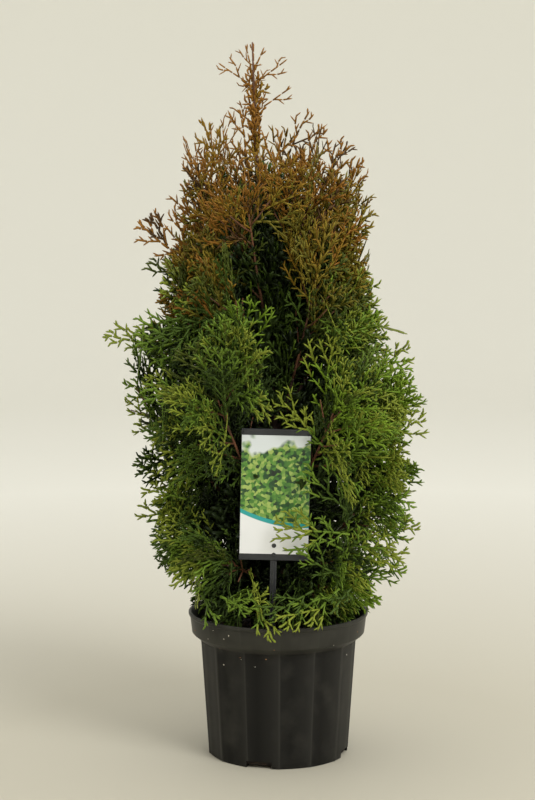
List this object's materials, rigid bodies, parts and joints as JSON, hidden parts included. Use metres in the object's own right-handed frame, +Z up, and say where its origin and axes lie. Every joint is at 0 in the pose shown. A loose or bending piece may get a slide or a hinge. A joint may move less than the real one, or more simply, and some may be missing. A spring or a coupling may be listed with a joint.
{
  "type": "potted thuja",
  "caption": "Young upright conifer with bronze-tipped flat sprays, standing in a black plastic nursery pot filled with soil, with a picture label on a stem.",
  "frame": {"origin": "centre of the flat underside of the pot", "axes": "+Z up along the pot's axis, +X to the right as the label is seen from the front, +Y away from the viewer of the label"},
  "size_m": [0.3003, 0.2689, 0.72],
  "materials": {
    "pot": "satin charcoal-black moulded plastic, slightly dusty, with shallow vertical panels",
    "soil": "matt, coarse dark brown peat and bark with pale grit",
    "label_holder": "satin dark slate moulded plastic",
    "label_card": null,
    "bark": "reddish brown fibrous bark, peeling in fine vertical strips",
    "foliage_skirt": "satin fresh green scale leaves in flat sprays",
    "foliage_low": "satin green scale leaves in flat sprays, yellow-green at the tips",
    "foliage_middle": "satin olive-green scale leaves in flat sprays",
    "foliage_upper": "satin bronze-olive scale leaves in flat sprays",
    "foliage_shoulder": "satin bronze and copper scale leaves in flat sprays",
    "foliage_leader": "satin copper-brown scale leaves, dense on the leading shoot"
  },
  "bodies": {
    "root": {"pot": "pot", "soil": "soil", "label_holder": "label_holder", "label_card": "label_card", "trunk": "bark", "bough_low_1": "bark", "bough_low_2": "bark", "bough_low_3": "bark", "bough_low_4": "bark", "bough_low_5": "bark", "bough_low_6": "bark", "bough_low_7": "bark", "bough_middle_1": "bark", "bough_middle_2": "bark", "bough_middle_3": "bark", "bough_middle_4": "bark", "bough_middle_5": "bark", "bough_middle_6": "bark", "bough_upper_1": "bark", "bough_upper_2": "bark", "bough_upper_3": "bark", "bough_upper_4": "bark", "bough_upper_5": "bark", "bough_upper_6": "bark", "bough_shoulder_1": "bark", "bough_shoulder_2": "bark", "bough_shoulder_3": "bark", "bough_shoulder_4": "bark", "bough_shoulder_5": "bark", "foliage_skirt_1": "foliage_skirt", "foliage_skirt_2": "foliage_skirt", "foliage_skirt_3": "foliage_skirt", "foliage_skirt_4": "foliage_skirt", "foliage_skirt_5": "foliage_skirt", "foliage_skirt_6": "foliage_skirt", "foliage_low_1": "foliage_low", "foliage_low_2": "foliage_low", "foliage_low_3": "foliage_low", "foliage_low_4": "foliage_low", "foliage_low_5": "foliage_low", "foliage_low_6": "foliage_low", "foliage_low_7": "foliage_low", "foliage_middle_1": "foliage_middle", "foliage_middle_2": "foliage_middle", "foliage_middle_3": "foliage_middle", "foliage_middle_4": "foliage_middle", "foliage_middle_5": "foliage_middle", "foliage_middle_6": "foliage_middle", "foliage_upper_1": "foliage_upper", "foliage_upper_2": "foliage_upper", "foliage_upper_3": "foliage_upper", "foliage_upper_4": "foliage_upper", "foliage_upper_5": "foliage_upper", "foliage_upper_6": "foliage_upper", "foliage_shoulder_1": "foliage_shoulder", "foliage_shoulder_2": "foliage_shoulder", "foliage_shoulder_3": "foliage_shoulder", "foliage_shoulder_4": "foliage_shoulder", "foliage_shoulder_5": "foliage_shoulder", "foliage_leader": "foliage_leader"}
  },
  "joints": []
}
